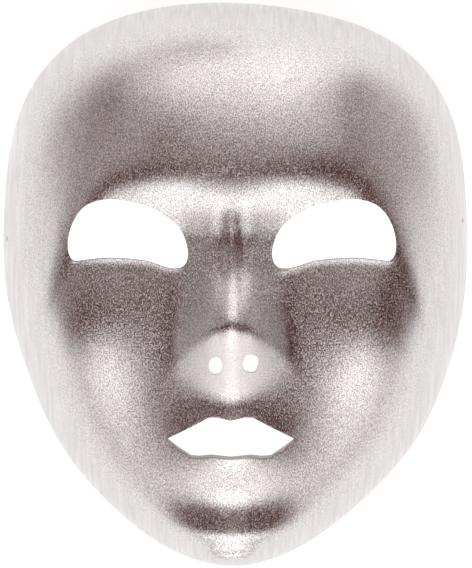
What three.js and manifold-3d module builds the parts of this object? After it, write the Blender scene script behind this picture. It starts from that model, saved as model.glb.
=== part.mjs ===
// Full face mask: one thin formed shell, hollow and open at the back, with eye, mouth and
// nostril openings and a small cord hole at each temple. It lies face up on its flat rim.
// Millimetres. The rim is in the plane z = 0, the face looks along +Z and the forehead is
// towards +Y.
import * as THREE from 'three';
import { mergeVertices } from 'three/addons/utils/BufferGeometryUtils.js';
import Module from 'manifold-3d';

// Thickness of the formed sheet
const WALL = 0.8;

// Distance from the middle of the outline to the rim, every 22.5 degrees from +X to +Y
const RIM_RADII = [
  92.2, 99.7, 113.7, 114.7, 113.0, 116.5, 114.0, 99.4,
  91.7, 89.8, 95.2, 104.3, 112.1, 103.4, 96.1, 91.6,
];

// The face's own midline stands a little to one side of the middle of the outline
const MIDLINE = -1.3;

// Domed body: its height, how square its section is towards each edge, and the draft that
// keeps the side wall just short of upright
const DOME = { high: 51.3, side: 2.61, top: 2.88, chin: 3.16, corner: -0.42, draft: 0.012 };

// Brow: a step up that runs across over the eyes and curves down at its outer ends
const BROW = { high: 13.3, y: 33.9, soft: 10, level: 41, bend: 0.042, wide: 61.6, run: 178 };

// Low forms that swell or sink by high, wide and tall from their middle. Those away from the
// midline come in pairs, joined over MIDLINE_SOFT. FlatX and flatY are the powers that square
// them off across the face and along it, and fade is the power that ends them short of the rim.
const BELL_POWER = 2;
const RIM_FADE = 6;
const MIDLINE_SOFT = 2;
const FORMS = [
  { name: 'eye socket', x: 30.2, y: 17.9, wide: 30, tall: 5.3, high: -1, flatX: 2.5, flatY: 2.5 },
  { name: 'space between brows', x: 0, y: 29.3, wide: 16.9, tall: 9, high: 2.8 },
  { name: 'temple', x: 63.7, y: 24.9, wide: 13, tall: 22.3, high: 1.8 },
  { name: 'cheek', x: 62.8, y: -20.9, wide: 24.4, tall: 32.6, high: 9 },
  { name: 'groove under the nose', x: 0, y: -49.7, wide: 13.9, tall: 10.7, high: -0.5 },
  { name: 'lower lip', x: 0, y: -65, wide: 18.2, tall: 18.9, high: 8.8 },
  { name: 'chin', x: 0, y: -105.3, wide: 36.8, tall: 15.1, high: 17.7, flatX: 2.9, fade: 16 },
  { name: 'tip of the chin', x: 0, y: -109, wide: 14, tall: 5, high: 13, flatX: 4, fade: 90 },
  { name: 'inner end of the eye socket', x: 16.7, y: 8.8, wide: 7, tall: 9, high: 0.5 },
  { name: 'inner cheek', x: 27, y: -25, wide: 9, tall: 18, high: 0.4 },
  { name: 'mouth corner', x: 27, y: -60, wide: 10, tall: 12, high: -0.2 },
  { name: 'upper lip', x: 10, y: -50, wide: 9, tall: 7, high: -0.6 },
  { name: 'jaw', x: 35, y: -85, wide: 16, tall: 14, high: 0.6 },
];

// Nose: a ridge stands rootHigh over the face without its brow, and from rootY it climbs to
// tipY while it widens from rootWide to wide. The underside slopes back to the lip.
const NOSE = {
  rootY: 4.4, rootHigh: 4.7, rootSoft: 3.5, rootWide: 8.5, climb: 0.663,
  tipY: -16, wide: 20.2, widen: 6.7, ridgeRound: 3.2, ridgeWiden: 0.02, underSlope: 0.581,
  underSides: 0.567, underRound: 4.9, tipRound: 2.1, footRound: 3.9,
};

// The part of the face that the nose is blended into: its half width, how far it starts above
// the nose's root and where it ends below, and how softly
const NOSE_PLACE = { wide: 34, above: 22, aboveSoft: 6, below: -62, belowSoft: 5 };

// Eye opening: points around it, outwards from the midline, for the eye on the -X side
const EYE = [
  [63.6, 15.2], [62.0, 23.4], [56.8, 30.6], [48.0, 33.3], [38.0, 32.0], [29.1, 29.0],
  [20.6, 22.6], [17.0, 14.0], [18.2, 7.8], [23.6, 6.7], [34.0, 9.7], [47.0, 10.7],
  [56.2, 10.0], [61.6, 9.8],
];
const EYES = [{ side: -1, inset: 0, stretch: 1 }, { side: 1, inset: -1.7, stretch: 1.03 }];

// Mouth opening: the half outline from its corner over the upper lip to the middle, then
// from the middle along the lower lip back to the corner
const MOUTH_MIDDLE = -1.6;
const UPPER_LIP = [[24.4, -59.4], [15.6, -54.9], [8.4, -51.1], [5.4, -51.0], [0, -52.3]];
const LOWER_LIP = [[0, -66.0], [7.6, -65.2], [12, -65.8], [15.4, -65.6], [20.4, -62.4]];

// Nostrils: middle, half width, half height and lean, one for each side
const NOSTRILS = [
  { x: -7.5, y: -30.9, wide: 2.5, tall: 3.2, lean: 0 },
  { x: 6.0, y: -30.0, wide: 2.7, tall: 3.2, lean: -0.25 },
];

// Cord holes through the side wall, punched by a round pin
const CORD_HOLE = { radius: 1, z: 11, pinLength: 16, pinSides: 12 };
const CORD_HOLES = [{ side: -1, y: 18.9 }, { side: 1, y: 26.2 }];

// Fineness of the shell's grid and of the openings' edges. The grid's rings are drawn inwards
// by a power, and crowd together at the side wall as reach nears its limit.
const RINGS = 23;
const RING_SPREAD = { inwards: 1.15, outwards: 1.12, limit: 8 };
const EDGE_POINTS = 44;
const NOSTRIL_SIDES = 16;
const CUT_FROM = -10;
const CUT_TO = 110;
const NO_ANGLE = 1e-7;
const SAME_POINT = 1e-5;

// Distance from the middle of the outline to the rim at an angle: a smooth periodic curve
// through the radii
function rimRadius(angle) {
  const count = RIM_RADII.length;
  let radius = 0;
  RIM_RADII.forEach((value, k) => {
    const away = angle - (2 * Math.PI * k) / count;
    const tangent = Math.tan(away / 2);
    const share = Math.abs(tangent) < NO_ANGLE ? 1 : Math.sin((count * away) / 2) / (count * tangent);
    radius += value * share;
  });
  return radius;
}

// The larger and the smaller of two heights, blended over a width
const softMax = (a, b, width) => (a + b + Math.hypot(a - b, width)) / 2;
const softMin = (a, b, width) => -softMax(-a, -b, width);

// A step from 0 to 1, and a flat-topped bell
const softStep = (t) => (1 + Math.tanh(t)) / 2;
const flatBell = (t) => Math.exp(-(t ** 4));

// Height of the domed body: a superellipse section whose power changes around the outline
function domeHeight(angle, part) {
  const up = Math.max(Math.sin(angle), 0) ** 2;
  const down = Math.max(-Math.sin(angle), 0) ** 2;
  const power = DOME.side * (1 - up - down) + DOME.top * up + DOME.chin * down
    + DOME.corner * Math.sin(2 * angle) ** 2;
  const root = (value) => (value + DOME.draft) ** (1 / power);
  return (DOME.high * (root(1 - part ** power) - root(0))) / (root(1) - root(0));
}

// Height that the brow adds
function browHeight(x, y) {
  const edge = BROW.y - BROW.bend * Math.max(Math.abs(x) - BROW.level, 0) ** 2;
  const back = Math.exp(-Math.max(y - edge, 0) / BROW.run);
  return BROW.high * softStep((y - edge) / BROW.soft) * flatBell(x / BROW.wide) * back;
}

// Height that one low form adds
function formHeight(form, x, y, part) {
  const across = Math.abs(Math.hypot(x, MIDLINE_SOFT) - form.x) / form.wide;
  const along = Math.abs(y - form.y) / form.tall;
  const bell = Math.exp(-(across ** (form.flatX ?? BELL_POWER)) - along ** (form.flatY ?? BELL_POWER));
  return form.high * bell * (1 - part ** (form.fade ?? RIM_FADE));
}

// Height of the nose's own skin, before it is blended into the face
function noseHeight(x, y, underBrow) {
  const run = NOSE.rootSoft * Math.log1p(Math.exp((NOSE.rootY - y) / NOSE.rootSoft));
  const wide = NOSE.wide - (NOSE.wide - NOSE.rootWide) * Math.exp(-run / NOSE.widen);
  const round = NOSE.ridgeRound + NOSE.ridgeWiden * run;
  const off = (Math.hypot(x, round) - round) / wide;
  const ridge = underBrow + (NOSE.rootHigh + NOSE.climb * run) * (1 - off);
  const tip = DOME.high + NOSE.rootHigh + NOSE.climb * (NOSE.rootY - NOSE.tipY);
  const aside = Math.hypot(x, NOSE.underRound) - NOSE.underRound;
  const under = tip - NOSE.underSlope * (NOSE.tipY - y) - NOSE.underSides * aside;
  return softMin(ridge, under, NOSE.tipRound);
}

// Height of the mask's outer skin over the rim plane
function skinHeight(x, y) {
  const angle = Math.atan2(y, x);
  const part = Math.min(Math.hypot(x, y) / rimRadius(angle), 1);
  const across = x - MIDLINE;
  let underBrow = domeHeight(angle, part);
  FORMS.forEach((form) => { underBrow += formHeight(form, across, y, part); });
  const face = underBrow + browHeight(across, y) * (1 - part ** RIM_FADE);
  const nose = softMax(face, noseHeight(across, y, underBrow), NOSE.footRound);
  const started = softStep((NOSE.rootY + NOSE_PLACE.above - y) / NOSE_PLACE.aboveSoft);
  const ended = softStep((y - NOSE_PLACE.below) / NOSE_PLACE.belowSoft);
  return face + (nose - face) * flatBell(across / NOSE_PLACE.wide) * started * ended;
}

// A point of the outer skin for a place on a square from -1 to 1 each way. The square's
// rings become rings of the outline, closer together at the nose and at the side wall.
function skinPoint(a, b) {
  const ring = Math.max(Math.abs(a), Math.abs(b));
  if (ring === 0) return new THREE.Vector3(0, 0, skinHeight(0, 0));
  const sideways = Math.abs(a) >= Math.abs(b);
  const turn = (Math.PI / 4) * (sideways ? b / a : -a / b) + (sideways ? 0 : Math.PI / 2);
  const angle = turn + ((sideways ? a : b) < 0 ? Math.PI : 0);
  const { inwards, outwards, limit } = RING_SPREAD;
  const reach = (value) => value / (1 + value ** limit) ** (1 / limit);
  const radius = (rimRadius(angle) * reach(outwards * ring ** inwards)) / reach(outwards);
  const x = radius * Math.cos(angle);
  const y = radius * Math.sin(angle);
  return new THREE.Vector3(x, y, ring === 1 ? 0 : skinHeight(x, y));
}

// The outer skin as a square grid of triangles, its diagonals running in from the corners
function skinSheet() {
  const count = 2 * RINGS;
  const points = [];
  const faces = [];
  for (let row = 0; row <= count; row++) {
    for (let column = 0; column <= count; column++) {
      points.push(skinPoint(column / RINGS - 1, row / RINGS - 1));
    }
  }
  for (let row = 0; row < count; row++) {
    for (let column = 0; column < count; column++) {
      const a = row * (count + 1) + column;
      const [b, c, d] = [a + 1, a + count + 2, a + count + 1];
      const inward = (row < RINGS) === (column < RINGS);
      faces.push(...(inward ? [a, b, c, a, c, d] : [a, b, d, b, c, d]));
    }
  }
  const sheet = new THREE.BufferGeometry().setFromPoints(points);
  sheet.setIndex(faces);
  sheet.computeVertexNormals();
  return sheet;
}

// The grid's rim vertices in order around the outline
function rimWalk() {
  const count = 2 * RINGS;
  const walk = [];
  for (let k = 0; k < count; k++) walk.push(k);
  for (let k = 0; k < count; k++) walk.push(k * (count + 1) + count);
  for (let k = 0; k < count; k++) walk.push(count * (count + 1) + count - k);
  for (let k = 0; k < count; k++) walk.push((count - k) * (count + 1));
  return walk;
}

// The closed shell: the skin, the same skin one wall thickness inside it, and the flat rim
function shellGeometry() {
  const sheet = skinSheet();
  const skin = sheet.attributes.position;
  const normals = sheet.attributes.normal;
  const walk = rimWalk();
  const onRim = new Set(walk);
  const inner = [];
  for (let k = 0; k < skin.count; k++) {
    const point = new THREE.Vector3().fromBufferAttribute(skin, k);
    const normal = new THREE.Vector3().fromBufferAttribute(normals, k);
    if (onRim.has(k)) normal.setZ(0).normalize();
    inner.push(...point.addScaledVector(normal, -WALL));
  }
  const faces = Array.from(sheet.index.array);
  const total = faces.length;
  for (let k = 0; k < total; k += 3) {
    faces.push(faces[k] + skin.count, faces[k + 2] + skin.count, faces[k + 1] + skin.count);
  }
  walk.forEach((here, k) => {
    const next = walk[(k + 1) % walk.length];
    faces.push(here, next + skin.count, next, here, here + skin.count, next + skin.count);
  });
  const shell = new THREE.BufferGeometry();
  const vertices = new Float32Array([...skin.array, ...inner]);
  shell.setAttribute('position', new THREE.BufferAttribute(vertices, 3));
  shell.setIndex(faces);
  return shell;
}

// A straight punch with the given outline, right through the face
function punch(outline) {
  const depth = CUT_TO - CUT_FROM;
  const tool = new THREE.ExtrudeGeometry(new THREE.Shape(outline), { depth, bevelEnabled: false });
  return tool.translate(0, 0, CUT_FROM);
}

function eyePunch({ side, inset, stretch }) {
  const points = EYE.map(([x, y]) => {
    const out = (x + inset) * stretch;
    return new THREE.Vector3(MIDLINE + side * out, y, 0);
  });
  const edge = new THREE.CatmullRomCurve3(points, true, 'centripetal').getPoints(EDGE_POINTS);
  return punch(edge.slice(1).map((point) => new THREE.Vector2(point.x, point.y)));
}

function mouthPunch() {
  const right = [...UPPER_LIP.slice(0, -1)].reverse();
  const whole = [
    ...UPPER_LIP.map(([x, y]) => [-x, y]), ...right,
    ...LOWER_LIP.slice(1).reverse(), ...LOWER_LIP.map(([x, y]) => [-x, y]),
  ];
  return punch(whole.map(([x, y]) => new THREE.Vector2(MOUTH_MIDDLE + x, y)));
}

function nostrilPunch({ x, y, wide, tall, lean }) {
  const edge = new THREE.EllipseCurve(x, y, wide, tall, 0, 2 * Math.PI, false, lean);
  return punch(edge.getPoints(NOSTRIL_SIDES).slice(1));
}

// A round pin that punches the cord hole in the side wall
function cordPunch({ side, y }) {
  const { radius, z, pinLength, pinSides } = CORD_HOLE;
  const pin = new THREE.CylinderGeometry(radius, radius, pinLength, pinSides);
  const angle = Math.atan2(y, side * RIM_RADII[0]);
  const middle = rimRadius(angle);
  pin.rotateZ(Math.PI / 2).translate(middle * Math.cos(angle), y, z);
  return pin;
}

const wasm = await Module();
wasm.setup();

// A closed three.js geometry as a solid that can be cut
function solidOf(geometry) {
  const bare = geometry.clone();
  bare.deleteAttribute('normal');
  bare.deleteAttribute('uv');
  const merged = mergeVertices(bare, SAME_POINT);
  const mesh = new wasm.Mesh({
    numProp: 3,
    vertProperties: merged.attributes.position.array,
    triVerts: new Uint32Array(merged.index.array),
  });
  return new wasm.Manifold(mesh);
}

// A cut solid as a three.js geometry again
function geometryOf(solid) {
  const mesh = solid.getMesh();
  const geometry = new THREE.BufferGeometry();
  geometry.setAttribute('position', new THREE.BufferAttribute(mesh.vertProperties, 3));
  geometry.setIndex(new THREE.BufferAttribute(mesh.triVerts, 1));
  geometry.computeVertexNormals();
  return geometry;
}

// The shell with its openings, moved so that the rim's box is centred on the origin
function maskShell() {
  const punches = [
    ...EYES.map(eyePunch), mouthPunch(), ...NOSTRILS.map(nostrilPunch), ...CORD_HOLES.map(cordPunch),
  ];
  let shell = solidOf(shellGeometry());
  punches.forEach((tool) => { shell = shell.subtract(solidOf(tool)); });
  const geometry = geometryOf(shell);
  geometry.computeBoundingBox();
  const middle = geometry.boundingBox.getCenter(new THREE.Vector3());
  geometry.translate(-middle.x, -middle.y, 0);
  const silver = new THREE.MeshStandardMaterial({ color: 0xc9c5c6, roughness: 0.4, metalness: 0.85 });
  const mesh = new THREE.Mesh(geometry, silver);
  mesh.name = 'mask_shell';
  return mesh;
}

const group = new THREE.Group();
group.add(maskShell());
export default group;
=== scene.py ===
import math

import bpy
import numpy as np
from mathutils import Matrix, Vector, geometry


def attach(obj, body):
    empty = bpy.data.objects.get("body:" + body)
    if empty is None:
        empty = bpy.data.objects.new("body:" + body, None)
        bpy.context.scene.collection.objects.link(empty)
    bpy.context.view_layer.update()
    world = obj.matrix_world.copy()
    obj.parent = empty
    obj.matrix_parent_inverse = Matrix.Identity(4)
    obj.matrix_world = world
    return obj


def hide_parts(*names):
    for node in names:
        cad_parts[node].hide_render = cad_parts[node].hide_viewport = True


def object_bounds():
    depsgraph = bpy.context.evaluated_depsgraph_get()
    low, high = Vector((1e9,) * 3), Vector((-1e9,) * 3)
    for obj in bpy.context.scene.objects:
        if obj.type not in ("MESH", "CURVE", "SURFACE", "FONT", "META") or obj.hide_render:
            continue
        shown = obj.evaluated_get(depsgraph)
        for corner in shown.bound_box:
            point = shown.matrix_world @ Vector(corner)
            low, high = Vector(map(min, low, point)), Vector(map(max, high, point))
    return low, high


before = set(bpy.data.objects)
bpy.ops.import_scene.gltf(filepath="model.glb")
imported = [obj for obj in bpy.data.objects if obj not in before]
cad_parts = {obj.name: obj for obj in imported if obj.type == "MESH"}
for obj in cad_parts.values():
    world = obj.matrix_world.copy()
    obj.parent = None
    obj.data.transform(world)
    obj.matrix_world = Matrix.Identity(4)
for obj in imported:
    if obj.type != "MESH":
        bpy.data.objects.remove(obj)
cad_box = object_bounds()

# A silver full face mask, lying face up on its flat rim. The shell is worked out afresh on a
# fine grid from the same named sizes as the solid it stands for. Sizes are in millimetres
# until a mesh is filled, and the mask's frame is the solid's: +Z out of the face, +Y to the
# forehead, +X to the right.

MM = 0.001

# Shape of the shell. RIM_RADII stand at equal turns anticlockwise from +X. A program fitted
# them to the photo's outline, and another fitted most numbers from MIDLINE to NOSE to the
# photo's shading. They are rounded.
WALL = 0.8
RIM_RADII = (92.2, 99.7, 113.7, 114.7, 113.0, 116.5, 114.0, 99.4,
             91.7, 89.8, 95.2, 104.3, 112.1, 103.4, 96.1, 91.6)
MIDLINE = -1.3
DOME = dict(high=51.3, side=2.61, top=2.88, chin=3.16, corner=-0.42, draft=0.012)
BROW = dict(high=13.3, y=33.9, soft=10, level=41, bend=0.042, wide=61.6, run=178)
FORMS = dict(
    eye_socket=dict(place_x=30.2, place_y=17.9, wide=30, tall=5.3, high=-1, flat_x=2.5, flat_y=2.5),
    between_brows=dict(place_x=0, place_y=29.3, wide=16.9, tall=9, high=2.8),
    temple=dict(place_x=63.7, place_y=24.9, wide=13, tall=22.3, high=1.8),
    cheek=dict(place_x=62.8, place_y=-20.9, wide=24.4, tall=32.6, high=9),
    groove_under_nose=dict(place_x=0, place_y=-49.7, wide=13.9, tall=10.7, high=-0.5),
    lower_lip=dict(place_x=0, place_y=-65, wide=18.2, tall=18.9, high=8.8),
    chin=dict(place_x=0, place_y=-105.3, wide=36.8, tall=15.1, high=17.7, flat_x=2.9, fade=16),
    chin_tip=dict(place_x=0, place_y=-109, wide=14, tall=5, high=13, flat_x=4, fade=90),
    inner_socket=dict(place_x=16.7, place_y=8.8, wide=7, tall=9, high=0.5),
    cheek_inner=dict(place_x=27, place_y=-25, wide=9, tall=18, high=0.4),
    mouth_corner=dict(place_x=27, place_y=-60, wide=10, tall=12, high=-0.2),
    upper_lip=dict(place_x=10, place_y=-50, wide=9, tall=7, high=-0.6),
    jaw=dict(place_x=35, place_y=-85, wide=16, tall=14, high=0.6),
)
NOSE = dict(root_y=4.4, root_high=4.7, root_soft=3.5, root_wide=8.5, climb=0.663, tip_y=-16,
            wide=20.2, widen=6.7, ridge_round=3.2, ridge_widen=0.02, under_slope=0.581,
            under_sides=0.567, under_round=4.9, tip_round=2.1, foot_round=3.9)
NOSE_PLACE = dict(wide=34, above=22, above_soft=6, below=-62, below_soft=5)
RIM_FADE = 6
MIDLINE_SOFT = 2

# Fine forms that are too small for the solid: two shallow furrows beside the root of the nose,
# and a rounder middle to its tip, with a lift that nearly keeps its height
FINE_FORMS = dict(
    root_furrow=dict(place_x=4.4, place_y=14, wide=2.4, tall=14, high=-1.1),
    tip_lift=dict(place_x=0, place_y=-18, wide=8, tall=9, high=1.6),
)
NOSE_BALL = dict(round=3.0, wide=7.0)

# Openings, seen from straight above. Each eye is one set of points, outwards from the midline.
EYE = ((63.6, 15.2), (62.0, 23.4), (56.8, 30.6), (48.0, 33.3), (38.0, 32.0), (29.1, 29.0),
       (20.6, 22.6), (17.0, 14.0), (18.2, 7.8), (23.6, 6.7), (34.0, 9.7), (47.0, 10.7),
       (56.2, 10.0), (61.6, 9.8))
EYES = (dict(side=-1, inset=0.0, stretch=1.0), dict(side=1, inset=-1.7, stretch=1.03))
MOUTH_MIDDLE = -1.6
UPPER_LIP = ((24.4, -59.4), (15.6, -54.9), (8.4, -51.1), (5.4, -51.0), (0, -52.3))
LOWER_LIP = ((0, -66.0), (7.6, -65.2), (12, -65.8), (15.4, -65.6), (20.4, -62.4))
NOSTRILS = (dict(x=-7.5, y=-30.9, wide=2.5, tall=3.2, lean=0.0, square=2),
            dict(x=6.0, y=-30.0, wide=2.7, tall=3.2, lean=-0.25, square=3))
NOSTRIL_POINTS = 32
CORD_HOLE = dict(radius=1.0, z=11, points=24)
CORD_HOLES = (dict(side=-1, y=18.9), dict(side=1, y=26.2))

# How the openings were trimmed: along a lower edge the film ends back from the clear opening,
# so a bevel of bare plastic shows, and the skin rolls over towards the opening. Burrs are
# places where the trimming tore a little more. EDGE_SHADE_WIDTH is the width of a dark line of
# painted shade along each opening's lower edge.
MOUTH_BEVEL = 1.1
EYE_ROLL = dict(drop=0.9, wide=3.2)
BURRS = (dict(x=18.2, y=6.4, wide=2.2, deep=0.9), dict(x=17.6, y=-63.2, wide=2.0, deep=0.5))
EDGE_SHADE_WIDTH = 0.3

# Film that was drawn thin as the nose was formed. Its grain is calmer on the underside, which
# starts a little below the tip and lower at the sides, by fall at the nose's half width. It is
# rougher in a band down each side, and a share as much rougher underneath. The side band is
# also darker by dark, which is painted shade. Both parts end above the lip.
DRAWN_UNDER = dict(calm=0.36, below_tip=2.5, fall=9, soft=2, dull_share=0.38)
DRAWN_AND_SHADED_SIDES = dict(x=13.5, wide=6.5, top=27, soft=4, rough=0.2, dark=0.2)
DRAWN_END = dict(y=-42, soft=2)

# Silver film: the grain's, streaks', clouding's and tint's cells across, along and up, how much
# they change the colour between dark and light, how much the grain changes the roughness, and
# how high the bumps are
FILM_DARK = (0.40, 0.40, 0.40, 1)
FILM_LIGHT = (1.0, 1.0, 1.0, 1)
# The end colour is painted shade: a dark line along each opening's lower edge.
EDGE_SHADE_COLOUR = (0.16, 0.14, 0.14, 1)
FILM_ROUGH = 0.31
GRAIN = dict(cell=(0.36, 0.6, 0.45), shade=4.2, rough=1.0, bump=0.08)
STREAKS = dict(cell=(1.1, 16, 16), shade=0.5)
CLOUD = dict(cell=(3.2, 3.6, 3.2), shade=0.1, bump=0.04)
TINT = dict(cell=(6, 9, 6), one=(1.0, 0.97, 0.95, 1), other=(0.99, 0.985, 1.0, 1))

# Plain plastic of the back and of the cut edges: cells of the clouding, colours, how rough, and
# how high the bumps are
BACK = dict(cell=(9, 9, 9), dark=(0.72, 0.70, 0.67, 1), light=(0.84, 0.83, 0.81, 1), rough=0.42,
            rough_change=0.2, bump_cell=(1.1, 1.1, 1.1), bump=0.03)
CUT = dict(cell=(0.35, 0.35, 0.9), dark=(0.62, 0.61, 0.60, 1), light=(0.80, 0.79, 0.78, 1),
           rough=0.6, bump=0.06)

# Floor and camera, in metres. The camera's sensor is in millimetres.
FLOOR = dict(half=3.0, colour=(0.6, 0.6, 0.6, 1), rough=0.9, glow=0.77)
CAMERA = dict(distance=1.5, half_height=0.1136, aside=0.00028)
SENSOR = 36

# Soft light panels far away, named by where they stand round the face. tilt is the angle from
# straight above, turn the direction anticlockwise from +X, and apart how far to either side of
# it a pair stands. LIGHT_SPAN is how wide each looks. All are in degrees. The program that
# fitted the face also placed the panels, which were then grouped, named and rounded.
LIGHT_SPAN = 38
LIGHTS = dict(
    chin_low=dict(tilt=84, turn=270, strength=0.36),
    chin_low_pair=dict(tilt=81, turn=270, apart=47, strength=0.25),
    chin_middle=dict(tilt=50, turn=270, strength=0.14),
    chin_middle_pair=dict(tilt=56, turn=270, apart=29, strength=0.4),
    chin_high=dict(tilt=38, turn=270, strength=0.41),
    forehead_low=dict(tilt=82, turn=71, strength=0.43),
    forehead_low_left=dict(tilt=71, turn=113, strength=0.25),
    forehead_middle=dict(tilt=55, turn=90, strength=0.35),
    forehead_middle_left=dict(tilt=54, turn=152, strength=0.12),
    forehead_middle_right=dict(tilt=52, turn=54, strength=0.23),
    overhead=dict(tilt=18, turn=90, strength=0.11),
    left_side=dict(tilt=82, turn=176, strength=0.1),
    right_side=dict(tilt=82, turn=20, strength=0.11),
)
ROOM = (0.07, 0.004, 0.0, 1)

# Fineness of the grid and of the rows of points along the openings' edges. GRID_GAP is a share
# of a ring, and ROW_GAP a share of a row's distance from its edge.
RINGS = 96
SPREAD = 1.12
SPREAD_LIMIT = 8
EDGE_STEP = 0.8
EDGE_ROWS = (0.3, 0.7, 1.2, 1.9, 2.8)
GRID_GAP = 0.45
ROW_GAP = 0.85
CURVE_STEPS = 24
LOOKUP_STEPS = 4001
SPOKE = dict(start=0.8, steps=2001)

# Where the disc's rim starts, how far in and how far apart its normals are measured, how
# upright a normal is where the wall starts to be measured straight down, and what counts as
# nothing for a length and for an area
ON_RIM = 1 - 1e-6
NORMAL_INSIDE = 0.997
NORMAL_STEP = 5e-4
UPRIGHT = 0.3
TINY = 1e-7
SLIVER = 1e-9


def rim_radius(angle):
    """Distance from the middle to the rim: a smooth periodic curve through RIM_RADII, each
    radius weighted by sin(n t / 2) / (n tan(t / 2)), t being the angle away from it."""
    count = len(RIM_RADII)
    radius = np.zeros_like(angle)
    for k, value in enumerate(RIM_RADII):
        away = angle - 2 * np.pi * k / count
        tangent = np.tan(away / 2)
        near = np.abs(tangent) < TINY
        share = np.sin(count * away / 2) / (count * np.where(near, 1, tangent))
        radius += value * np.where(near, 1, share)
    return radius


def soft_max(a, b, width):
    """The larger of two heights, rounded where they meet."""
    return (a + b + np.hypot(a - b, width)) / 2


def soft_min(a, b, width):
    """The smaller of two heights, rounded where they meet."""
    return -soft_max(-a, -b, width)


def soft_step(t):
    """A step from 0 to 1."""
    return (1 + np.tanh(t)) / 2


def flat_bell(t):
    """A bell with a flat top: e to the power of minus t to the fourth."""
    return np.exp(-t ** 4)


def dome_height(angle, part):
    """Domed body: high times (1 - part^p)^(1/p), where part runs from 0 in the middle to 1 at
    the rim and the power p changes from the sides to the top and the chin."""
    up = np.clip(np.sin(angle), 0, 1) ** 2
    down = np.clip(-np.sin(angle), 0, 1) ** 2
    power = (DOME["side"] * (1 - up - down) + DOME["top"] * up + DOME["chin"] * down
             + DOME["corner"] * np.sin(2 * angle) ** 2)

    def root(value):
        return (value + DOME["draft"]) ** (1 / power)

    return DOME["high"] * (root(1 - part ** power) - root(0)) / (root(1) - root(0))


def brow_height(x, y):
    """Brow: a soft step up across the face at an edge that curves down at its outer ends."""
    edge = BROW["y"] - BROW["bend"] * np.maximum(np.abs(x) - BROW["level"], 0) ** 2
    back = np.exp(-np.maximum(y - edge, 0) / BROW["run"])
    return BROW["high"] * soft_step((y - edge) / BROW["soft"]) * flat_bell(x / BROW["wide"]) * back


def form_height(x, y, part, place_x, place_y, wide, tall, high, flat_x=2, flat_y=2, fade=RIM_FADE):
    """A low swelling or hollow: high times a bell across and along, faded out at the rim."""
    across = np.abs(np.hypot(x, MIDLINE_SOFT) - place_x) / wide
    along = np.abs(y - place_y) / tall
    return high * np.exp(-across ** flat_x - along ** flat_y) * (1 - part ** fade)


def nose_height(x, y, under_brow):
    """Nose: a ridge that stands on the face without its brow and climbs from its root to the
    tip, with sides that come down to the face at a set half width, cut off below by an
    underside that slopes back to the lip. The tip is rounder in the middle."""
    run = NOSE["root_soft"] * np.logaddexp(0, (NOSE["root_y"] - y) / NOSE["root_soft"])
    bend = NOSE["ridge_round"] + NOSE["ridge_widen"] * run
    wide = NOSE["wide"] - (NOSE["wide"] - NOSE["root_wide"]) * np.exp(-run / NOSE["widen"])
    off = (np.hypot(x, bend) - bend) / wide
    ridge = under_brow + (NOSE["root_high"] + NOSE["climb"] * run) * (1 - off)
    tip = DOME["high"] + NOSE["root_high"] + NOSE["climb"] * (NOSE["root_y"] - NOSE["tip_y"])
    aside = np.hypot(x, NOSE["under_round"]) - NOSE["under_round"]
    under = tip - NOSE["under_slope"] * (NOSE["tip_y"] - y) - NOSE["under_sides"] * aside
    ball = NOSE_BALL["round"] * flat_bell(x / NOSE_BALL["wide"])
    return soft_min(ridge, under, NOSE["tip_round"] + ball)


def skin_height(x, y):
    """Height of the outer skin: dome, brow and low forms, with the nose blended in."""
    angle = np.arctan2(y, x)
    part = np.minimum(np.hypot(x, y) / rim_radius(angle), 1)
    across = x - MIDLINE
    under_brow = dome_height(angle, part)
    for form in (*FORMS.values(), *FINE_FORMS.values()):
        under_brow = under_brow + form_height(across, y, part, **form)
    face = under_brow + brow_height(across, y) * (1 - part ** RIM_FADE)
    nose = soft_max(face, nose_height(across, y, under_brow), NOSE["foot_round"])
    started = soft_step((NOSE["root_y"] + NOSE_PLACE["above"] - y) / NOSE_PLACE["above_soft"])
    ended = soft_step((y - NOSE_PLACE["below"]) / NOSE_PLACE["below_soft"])
    return face + (nose - face) * flat_bell(across / NOSE_PLACE["wide"]) * started * ended


def spread(ring):
    """How far out a ring of the grid lies, 0 to 1: evenly on the face, and ever closer to 1
    on the steep side wall."""
    def reach(value):
        return value / (1 + value ** SPREAD_LIMIT) ** (1 / SPREAD_LIMIT)
    return reach(SPREAD * ring) / reach(SPREAD)


def skin_points(u, v):
    """Points of the outer skin over a unit disc: the disc's rings are stretched to the
    outline's shape and lifted to the skin's height."""
    ring = np.minimum(np.hypot(u, v), 1)
    angle = np.arctan2(v, u)
    radius = rim_radius(angle) * spread(ring)
    x, y = radius * np.cos(angle), radius * np.sin(angle)
    z = np.where(ring > ON_RIM, 0, skin_height(x, y))
    return np.stack([x, y, z], axis=1)


def skin_normals(u, v):
    """Outward normals: the cross product of the skin's two small steps over the disc, taken
    just inside the rim and level on it."""
    ring = np.hypot(u, v)
    inside = np.minimum(1, NORMAL_INSIDE / np.maximum(ring, TINY))
    u, v = u * inside, v * inside
    along_u = skin_points(u + NORMAL_STEP, v) - skin_points(u - NORMAL_STEP, v)
    along_v = skin_points(u, v + NORMAL_STEP) - skin_points(u, v - NORMAL_STEP)
    normals = np.cross(along_u, along_v)
    normals[ring > ON_RIM, 2] = 0
    return normals / np.linalg.norm(normals, axis=1, keepdims=True)


def disc_grid():
    """A square grid bent into a disc: each square ring becomes a circle."""
    line = np.linspace(-1, 1, 2 * RINGS + 1)
    a, b = (part.ravel() for part in np.meshgrid(line, line))
    ring = np.maximum(np.abs(a), np.abs(b))
    sideways = np.abs(a) >= np.abs(b)
    safe = np.where(ring == 0, 1, np.where(sideways, a, b))
    turn = np.pi / 4 * np.where(sideways, b / safe, -a / safe) + np.where(sideways, 0, np.pi / 2)
    angle = turn + np.where(safe < 0, np.pi, 0)
    return np.stack([ring * np.cos(angle), ring * np.sin(angle)], axis=1)


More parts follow.
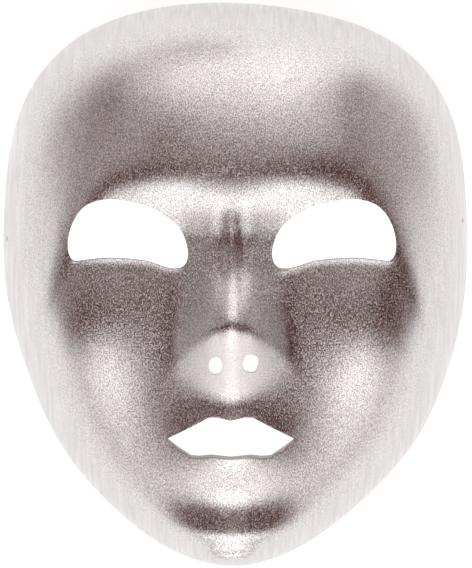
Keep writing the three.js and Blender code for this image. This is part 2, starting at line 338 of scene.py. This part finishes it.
def on_disc(outline):
    """Where points seen from above, in millimetres, lie on the unit disc."""
    angle = np.arctan2(outline[:, 1], outline[:, 0])
    part = np.hypot(outline[:, 0], outline[:, 1]) / rim_radius(angle)
    rings = np.linspace(0, 1, LOOKUP_STEPS)
    ring = np.interp(part, spread(rings), rings)
    return np.stack([ring * np.cos(angle), ring * np.sin(angle)], axis=1)


def spaced(points, step):
    """A closed outline's points set about one step apart, corners kept."""
    ring = np.vstack([points, points[:1]])
    pieces = []
    for here, there in zip(ring[:-1], ring[1:]):
        count = max(1, round(float(np.linalg.norm(there - here)) / step))
        share = np.arange(count)[:, None] / count
        pieces.append(here + (there - here) * share)
    return np.vstack(pieces)


def smooth_loop(points):
    """A closed curve through points: each span is a cubic whose slopes are half the chord of
    the neighbours (Catmull-Rom)."""
    points = np.asarray(points, float)
    before, after = np.roll(points, 1, axis=0), np.roll(points, -1, axis=0)
    later = np.roll(points, -2, axis=0)
    t = np.linspace(0, 1, CURVE_STEPS, endpoint=False)[:, None, None]
    curve = 0.5 * (2 * points + (after - before) * t
                   + (2 * before - 5 * points + 4 * after - later) * t ** 2
                   + (3 * points - before - 3 * after + later) * t ** 3)
    return curve.transpose(1, 0, 2).reshape(-1, 2)


def eye_outline(side, inset, stretch):
    """One eye opening."""
    points = [(MIDLINE + side * (x + inset) * stretch, y) for x, y in EYE]
    return smooth_loop(points)


def mouth_outline():
    """The mouth opening, each half the mirror of the other."""
    whole = ([(-x, y) for x, y in UPPER_LIP] + [(x, y) for x, y in UPPER_LIP[-2::-1]]
             + [(x, y) for x, y in LOWER_LIP[:0:-1]] + [(-x, y) for x, y in LOWER_LIP])
    return np.array(whole, float) + (MOUTH_MIDDLE, 0)


def nostril_outline(x, y, wide, tall, lean, square):
    """One nostril: a superellipse that may lean, where |x / wide|^square + |y / tall|^square
    is 1."""
    angle = np.linspace(0, 2 * np.pi, NOSTRIL_POINTS, endpoint=False)
    across = wide * np.sign(np.cos(angle)) * np.abs(np.cos(angle)) ** (2 / square)
    along = tall * np.sign(np.sin(angle)) * np.abs(np.sin(angle)) ** (2 / square)
    return np.stack([x + across * math.cos(lean) - along * math.sin(lean),
                     y + across * math.sin(lean) + along * math.cos(lean)], axis=1)


def cord_outline(side, y):
    """One cord hole, as a loop on the disc: a circle on the steep side wall."""
    aim = math.atan2(y, side * RIM_RADII[0])

    def skin_at(ring, angle):
        u, v = ring * np.cos([angle]), ring * np.sin([angle])
        return skin_points(u, v)[0]

    rings = np.linspace(SPOKE["start"], 1, SPOKE["steps"])
    spoke = skin_points(rings * math.cos(aim), rings * math.sin(aim))
    middle = np.interp(-CORD_HOLE["z"], -spoke[:, 2], rings)
    step = 1e-3
    here = skin_at(middle, aim)
    per_ring = np.linalg.norm(skin_at(middle + step, aim) - here) / step
    per_angle = np.linalg.norm(skin_at(middle, aim + step) - here) / step
    turn = np.linspace(0, 2 * np.pi, CORD_HOLE["points"], endpoint=False)
    ring = middle + CORD_HOLE["radius"] * np.cos(turn) / per_ring
    angle = aim + CORD_HOLE["radius"] * np.sin(turn) / per_angle
    return np.stack([ring * np.cos(angle), ring * np.sin(angle)], axis=1)


def away_from(loop):
    """Directions of length 1 that point away from the inside of a closed outline."""
    along = np.roll(loop, -1, axis=0) - np.roll(loop, 1, axis=0)
    after = np.roll(loop, -1, axis=0)
    area = np.sum(loop[:, 0] * after[:, 1] - after[:, 0] * loop[:, 1])
    away = np.stack([along[:, 1], -along[:, 0]], axis=1) * np.sign(area)
    return away / np.linalg.norm(away, axis=1, keepdims=True)


def trimmed(outline, bevel=0.0, roll=0.0):
    """An opening's edges: the clear outline, the film's outline set back from it along lower
    edges and at burrs, how squarely each point is a lower edge, and how far the skin drops."""
    clear = spaced(outline, EDGE_STEP)
    away = away_from(clear)
    lower = np.clip(-away[:, 1], 0, 1) ** 2
    back = bevel * lower
    for burr in BURRS:
        far = np.hypot(clear[:, 0] - burr["x"], clear[:, 1] - burr["y"]) / burr["wide"]
        back += burr["deep"] * np.clip(1 - far ** 2, 0, 1)
    return dict(clear=clear, film=clear + away * back[:, None], lower=lower, roll=roll)


def openings():
    """Every opening that is seen from straight above."""
    return ([trimmed(eye_outline(**eye), roll=EYE_ROLL["drop"]) for eye in EYES]
            + [trimmed(mouth_outline(), bevel=MOUTH_BEVEL)]
            + [trimmed(nostril_outline(**nostril)) for nostril in NOSTRILS])


def edge_reach(points, holes):
    """For points seen from above: how far the nearest film edge is, how squarely that is a
    lower edge, and how much the skin drops there."""
    reach = np.full(len(points), 2 * EDGE_ROWS[-1])
    lower, roll = np.zeros(len(points)), np.zeros(len(points))
    for hole in holes:
        film = hole["film"]
        low, high = film.min(axis=0) - reach.max(), film.max(axis=0) + reach.max()
        near = np.flatnonzero(((points > low) & (points < high)).all(axis=1))
        apart = np.linalg.norm(points[near, None] - film[None], axis=2)
        nearest = apart.argmin(axis=1)
        apart = apart[np.arange(len(near)), nearest]
        closer = apart < reach[near]
        reach[near[closer]] = apart[closer]
        lower[near[closer]] = hole["lower"][nearest[closer]]
        roll[near[closer]] = hole["roll"]
    return reach, lower, roll


def inside_loop(points, loop):
    """Which points a closed loop goes round: a count of the edges that a ray crosses."""
    inside = np.zeros(len(points), bool)
    for (x0, y0), (x1, y1) in zip(loop, np.roll(loop, -1, axis=0)):
        if y0 == y1:
            continue
        spans = (points[:, 1] > y0) != (points[:, 1] > y1)
        crossing = x0 + (points[:, 1] - y0) * (x1 - x0) / (y1 - y0)
        inside ^= spans & (points[:, 0] < crossing)
    return inside


def disc_mesh(holes):
    """The disc as triangles with the openings left out: the grid's points, the openings'
    edges and rows of points beside them, joined by a Delaunay triangulation that keeps the
    edges. The second array of points is the same but for the clear outlines."""
    grid = disc_grid()
    loops = [on_disc(hole["film"]) for hole in holes]
    loops += [cord_outline(**hole) for hole in CORD_HOLES]
    films = np.vstack([hole["film"] for hole in holes])
    rows = []
    for hole in holes:
        for row in EDGE_ROWS:
            beside = hole["film"] + away_from(hole["film"]) * row
            apart = np.linalg.norm(beside[:, None] - films[None], axis=2).min(axis=1)
            rows.append(on_disc(beside[apart > ROW_GAP * row]))
    gap = GRID_GAP / RINGS
    keep = np.ones(len(grid), bool)
    for loop in loops + rows:
        low, high = loop.min(axis=0) - gap, loop.max(axis=0) + gap
        near = np.flatnonzero(((grid > low) & (grid < high)).all(axis=1))
        away = np.linalg.norm(grid[near, None] - loop[None], axis=2).min(axis=1)
        keep[near] &= (away > gap) & ~inside_loop(grid[near], loop)
    keep |= np.hypot(grid[:, 0], grid[:, 1]) > ON_RIM
    front = np.vstack([grid[keep]] + rows + loops)
    clear = [on_disc(hole["clear"]) for hole in holes] + loops[len(holes):]
    back = np.vstack([grid[keep]] + rows + clear)
    edges = []
    start = len(front) - sum(len(loop) for loop in loops)
    for loop in loops:
        count = len(loop)
        edges += [(start + k, start + (k + 1) % count) for k in range(count)]
        start += count
    spots = [Vector(point) for point in front.tolist()]
    made = geometry.delaunay_2d_cdt(spots, edges, [], 0, TINY)
    order = np.array([same[0] for same in made[3]])
    front, back = front[order], back[order]
    faces = np.array(made[2])
    a, b, c = (front[faces[:, k]] for k in range(3))
    area = (b[:, 0] - a[:, 0]) * (c[:, 1] - a[:, 1]) - (b[:, 1] - a[:, 1]) * (c[:, 0] - a[:, 0])
    faces[area < 0] = faces[area < 0][:, ::-1]
    left = np.abs(area) > SLIVER
    middles = front[faces].mean(axis=1)
    for loop in loops:
        left &= ~inside_loop(middles, loop)
    return front, back, faces[left]


def border_edges(faces):
    """Edges that only one triangle has, in that triangle's direction."""
    edges = np.vstack([faces[:, [0, 1]], faces[:, [1, 2]], faces[:, [2, 0]]])
    count = int(faces.max()) + 1
    forward = edges[:, 0] * count + edges[:, 1]
    backward = edges[:, 1] * count + edges[:, 0]
    return edges[~np.isin(forward, backward)]


def fill_mesh(name, points, faces, slots):
    """A mesh object from arrays of points, triangles and material slots."""
    mesh = bpy.data.meshes.new(name)
    mesh.vertices.add(len(points))
    mesh.vertices.foreach_set("co", (points * MM).astype(np.float32).ravel())
    mesh.loops.add(faces.size)
    mesh.loops.foreach_set("vertex_index", faces.astype(np.int32).ravel())
    mesh.polygons.add(len(faces))
    mesh.polygons.foreach_set("loop_start", np.arange(0, faces.size, 3, dtype=np.int32))
    mesh.polygons.foreach_set("material_index", slots.astype(np.int32))
    mesh.polygons.foreach_set("use_smooth", np.ones(len(faces), bool))
    mesh.update(calc_edges=True)
    mesh.validate()
    thing = bpy.data.objects.new(name, mesh)
    bpy.context.scene.collection.objects.link(thing)
    return thing


def crease(mesh, pairs):
    """Marks edges between pairs of points as sharp, so that smooth shading stops there."""
    count = len(mesh.vertices)
    ends = np.empty(2 * len(mesh.edges), np.int32)
    mesh.edges.foreach_get("vertices", ends)
    ends = np.sort(ends.reshape(-1, 2).astype(np.int64), axis=1)
    pairs = np.sort(pairs.astype(np.int64), axis=1)
    sharp = np.isin(ends[:, 0] * count + ends[:, 1], pairs[:, 0] * count + pairs[:, 1])
    mesh.edges.foreach_set("use_edge_sharp", sharp)


def rolled(skin, holes):
    """The skin with its lower edges dropped: roll (1 - reach / wide)^2 beside an opening."""
    reach, lower, roll = edge_reach(skin[:, :2], holes)
    skin[:, 2] -= roll * lower * np.clip(1 - reach / EYE_ROLL["wide"], 0, 1) ** 2
    return skin


def drawn_film(x, y):
    """Two shares of the film that was drawn thin as the nose was formed: calm on its underside,
    whose upper end falls as the square of the distance from the middle, and dull in a band down
    each side and, less so, on the underside. The side band also sets where the colour is
    darkened by painted shade."""
    across = x - MIDLINE
    fall = DRAWN_UNDER["fall"] * (across / NOSE["wide"]) ** 2
    top = NOSE["tip_y"] - DRAWN_UNDER["below_tip"] - fall
    calm = soft_step((top - y) / DRAWN_UNDER["soft"]) * flat_bell(across / NOSE["wide"])
    band = (flat_bell((np.abs(across) - DRAWN_AND_SHADED_SIDES["x"]) / DRAWN_AND_SHADED_SIDES["wide"])
            * soft_step((DRAWN_AND_SHADED_SIDES["top"] - y) / DRAWN_AND_SHADED_SIDES["soft"]))
    dull = band * (1 - calm) + DRAWN_UNDER["dull_share"] * calm
    above_lip = soft_step((y - DRAWN_END["y"]) / DRAWN_END["soft"])
    return calm * above_lip, dull * above_lip


def mask_shell():
    """The shell: the outer skin, the inner skin one wall inside it, and the cut edges that
    join the two at the rim and round every opening. The wall is measured along the normal on
    the steep sides, and straight down on the face, so that the openings' edges are upright."""
    holes = openings()
    front, back, faces = disc_mesh(holes)
    outer = rolled(skin_points(front[:, 0], front[:, 1]), holes)
    normals = skin_normals(back[:, 0], back[:, 1])
    inner = rolled(skin_points(back[:, 0], back[:, 1]), holes)
    upright = np.clip((normals[:, 2:] - UPRIGHT) / UPRIGHT, 0, 1)
    inner -= WALL * normals * (1 - upright)
    inner[:, 2:] -= WALL * upright / np.maximum(normals[:, 2:], UPRIGHT)
    middle = (outer.min(axis=0) + outer.max(axis=0)) / 2
    box = np.array(cad_box) / MM
    shift = (box[0] + box[1]) / 2 - middle
    shift[2] = 0
    count = len(outer)
    edge = border_edges(faces)
    a, b = edge[:, 0], edge[:, 1]
    joins = np.vstack([np.stack([b, a, a + count], axis=1),
                       np.stack([b, a + count, b + count], axis=1)])
    whole = np.vstack([faces, faces[:, ::-1] + count, joins])
    slots = np.repeat([0, 1, 2], [len(faces), len(faces), len(joins)])
    shell = fill_mesh("silver_mask", np.vstack([outer, inner]) + shift, whole, slots)
    crease(shell.data, np.vstack([edge, edge + count]))
    keep_film_layers(shell.data, front, outer, holes)
    return shell


def keep_film_layers(mesh, disc, skin, holes):
    """Keeps four numbers at the mesh's points for the film: how near the dark line of painted shade
    along an opening's lower edge is, how far up the skin faces, and the two shares of drawn film."""
    reach, lower, _ = edge_reach(skin[:, :2], holes)
    calm, dull = drawn_film(skin[:, 0], skin[:, 1])
    # The first layer places painted shade: a dark line along each opening's lower edge.
    layers = dict(film_edge=lower * np.exp(-(reach / EDGE_SHADE_WIDTH) ** 2),
                  upward=skin_normals(disc[:, 0], disc[:, 1])[:, 2], calm=calm, dull=dull)
    for name, values in layers.items():
        layer = mesh.attributes.new(name, "FLOAT", "POINT")
        layer.data.foreach_set("value", np.concatenate([values, values]).astype(np.float32))


class Wire:
    """A socket whose values can be worked with as in a sum."""

    def __init__(self, tree, socket):
        self.tree = tree
        self.socket = socket

    def _math(self, operation, first, second):
        node = self.tree.nodes.new("ShaderNodeMath")
        node.operation = operation
        join(self.tree, first, node.inputs[0])
        join(self.tree, second, node.inputs[1])
        return Wire(self.tree, node.outputs[0])

    def __add__(self, other):
        return self._math("ADD", self, other)

    __radd__ = __add__

    def __mul__(self, other):
        return self._math("MULTIPLY", self, other)

    __rmul__ = __mul__

    def __sub__(self, other):
        return self._math("SUBTRACT", self, other)

    def __rsub__(self, other):
        return self._math("SUBTRACT", other, self)


def join(tree, value, socket):
    """Feeds a socket from a Wire, or sets it to a plain value."""
    if isinstance(value, Wire):
        tree.links.new(value.socket, socket)
    else:
        socket.default_value = value


def socket_named(sockets, name):
    """The socket with an identifier whose spaces are written as underscores."""
    return next(socket for socket in sockets if socket.identifier.replace(" ", "_") == name)


class Finish:
    """A material under construction: its node tree and one method that adds any node."""

    def __init__(self, name):
        self.material = bpy.data.materials.new(name)
        self.material.use_nodes = True
        self.tree = self.material.node_tree
        self.shader = self.tree.nodes["Principled BSDF"]

    def node(self, kind, output, settings=None, **values):
        """One node of a type, its settings first, then the values or links of its sockets."""
        made = self.tree.nodes.new(kind)
        for name, value in (settings or {}).items():
            setattr(made, name, value)
        for name, value in values.items():
            join(self.tree, value, socket_named(made.inputs, name))
        return Wire(self.tree, socket_named(made.outputs, output))

    def set(self, **values):
        """Sets or feeds the shader's own sockets."""
        for name, value in values.items():
            join(self.tree, value, socket_named(self.shader.inputs, name))

    def noise(self, cell, detail=0.0):
        """Soft noise about 0 whose cells have a size across, along and up in millimetres."""
        place = self.node("ShaderNodeTexCoord", "Object")
        scale = tuple(1 / (size * MM) for size in cell)
        spot = self.node("ShaderNodeMapping", "Vector", Vector=place, Scale=scale)
        return self.node("ShaderNodeTexNoise", "Fac", Vector=spot, Scale=1.0, Detail=detail) - 0.5

    def layer(self, name):
        """A number kept at the mesh's points."""
        return self.node("ShaderNodeAttribute", "Fac", dict(attribute_name=name))

    def blend(self, share, low, high):
        """A colour between two colours."""
        return self.node("ShaderNodeMix", "Result_Color", dict(data_type="RGBA"),
                         Factor_Float=share, A_Color=low, B_Color=high)


def silver_film():
    """Silver film: a fine sparkling grain that fades as the cube of how far up the skin faces,
    faint upright streaks where the film was stretched down the steep sides, duller sides of the
    nose that are also darkened by painted shade, and a dark line of painted shade along each
    opening's lower edge, where the film ends above it."""
    film = Finish("silver_film")
    upward, calm, dull = (film.layer(name) for name in ("upward", "calm", "dull"))
    grainy = upward * (1 - calm * DRAWN_UNDER["calm"])
    grain = film.noise(GRAIN["cell"]) * (grainy * grainy * grainy)
    glint = film.node("ShaderNodeMath", "Value", dict(operation="MAXIMUM"),
                      Value=grain, Value_001=0.0)
    streaks = film.noise(STREAKS["cell"]) * ((1 - upward) * (1 - calm))
    cloud = film.noise(CLOUD["cell"], detail=2.0)
    # Painted shade: the colour is darker in the band down each side of the nose.
    base_with_side_shade = 0.5 - (dull - calm * DRAWN_UNDER["dull_share"]) * DRAWN_AND_SHADED_SIDES["dark"]
    share = base_with_side_shade + grain * GRAIN["shade"] + streaks * STREAKS["shade"] + cloud * CLOUD["shade"]
    shade = film.blend(share, FILM_DARK, FILM_LIGHT)
    tint = film.blend(film.noise(TINT["cell"]) + 0.5, TINT["one"], TINT["other"])
    tinted = film.node("ShaderNodeMix", "Result_Color",
                       dict(data_type="RGBA", blend_type="MULTIPLY"),
                       Factor_Float=1.0, A_Color=shade, B_Color=tint)
    # Painted shade: a dark line in the colour along each opening's lower edge.
    ended = film.blend(film.layer("film_edge"), tinted, EDGE_SHADE_COLOUR)
    rough = FILM_ROUGH + glint * GRAIN["rough"] + dull * DRAWN_AND_SHADED_SIDES["rough"]
    bumps = grain * (GRAIN["bump"] * upward) + cloud * CLOUD["bump"]
    film.set(Base_Color=ended, Metallic=1.0, Roughness=rough,
             Normal=film.node("ShaderNodeBump", "Normal", Height=bumps, Distance=MM))
    return film.material


def plain_back():
    """Unfaced plastic on the back, slightly clouded."""
    back = Finish("plain_back")
    cloud = back.noise(BACK["cell"], detail=3.0)
    bumps = back.noise(BACK["bump_cell"], detail=2.0)
    back.set(Base_Color=back.blend(0.5 + cloud, BACK["dark"], BACK["light"]),
             Roughness=BACK["rough"] + cloud * BACK["rough_change"],
             Normal=back.node("ShaderNodeBump", "Normal", Height=bumps,
                              Distance=BACK["bump"] * MM))
    return back.material


def cut_edge():
    """The sheet's own plastic where it is cut, with fine knife marks."""
    edge = Finish("cut_edge")
    marks = edge.noise(CUT["cell"], detail=1.0)
    edge.set(Base_Color=edge.blend(0.5 + marks, CUT["dark"], CUT["light"]),
             Roughness=CUT["rough"],
             Normal=edge.node("ShaderNodeBump", "Normal", Height=marks,
                              Distance=CUT["bump"] * MM))
    return edge.material


def add_floor():
    """A plain pale floor that the mask lies on."""
    mesh = bpy.data.meshes.new("floor")
    half = FLOOR["half"]
    corners = [(-half, -half, 0), (half, -half, 0), (half, half, 0), (-half, half, 0)]
    mesh.from_pydata(corners, [], [(0, 1, 2, 3)])
    floor = bpy.data.objects.new("floor", mesh)
    bpy.context.scene.collection.objects.link(floor)
    paper = Finish("pale_floor")
    paper.set(Base_Color=FLOOR["colour"], Roughness=FLOOR["rough"],
              Emission_Color=(1, 1, 1, 1), Emission_Strength=FLOOR["glow"])
    mesh.materials.append(paper.material)


def add_panel(tilt, turn, strength):
    """A soft light panel far away that faces the mask."""
    light = bpy.data.lights.new("panel", "SUN")
    light.energy = strength
    light.angle = math.radians(LIGHT_SPAN)
    lamp = bpy.data.objects.new("panel", light)
    tilt, turn = math.radians(tilt), math.radians(turn)
    flat = math.sin(tilt)
    way = Vector((flat * math.cos(turn), flat * math.sin(turn), math.cos(tilt)))
    lamp.location = way
    lamp.rotation_euler = (-way).to_track_quat("-Z", "Y").to_euler()
    bpy.context.scene.collection.objects.link(lamp)


def add_light(tilt, turn, strength, apart=0):
    """One panel, or a pair of panels to either side of a direction."""
    for way in sorted({turn - apart, turn + apart}):
        add_panel(tilt, way, strength)


def add_world():
    """A dim warm room around the panels."""
    world = bpy.data.worlds.new("studio")
    world.use_nodes = True
    world.node_tree.nodes["Background"].inputs["Color"].default_value = ROOM
    bpy.context.scene.world = world


def add_camera():
    """A camera straight above the mask, its picture's long side along the mask's height."""
    lens = bpy.data.cameras.new("camera")
    lens.sensor_fit = "VERTICAL"
    lens.sensor_height = SENSOR
    lens.lens = SENSOR / 2 * CAMERA["distance"] / CAMERA["half_height"]
    camera = bpy.data.objects.new("camera", lens)
    camera.location = (CAMERA["aside"], 0, CAMERA["distance"])
    bpy.context.scene.collection.objects.link(camera)
    bpy.context.scene.camera = camera


def main():
    """Makes the mask with its three materials, the floor, the light and the camera."""
    shell = mask_shell()
    for material in (silver_film(), plain_back(), cut_edge()):
        shell.data.materials.append(material)
    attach(shell, "root")
    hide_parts("mask_shell")
    add_floor()
    add_world()
    for light in LIGHTS.values():
        add_light(**light)
    add_camera()
    bpy.context.scene.view_settings.view_transform = "Standard"


main()
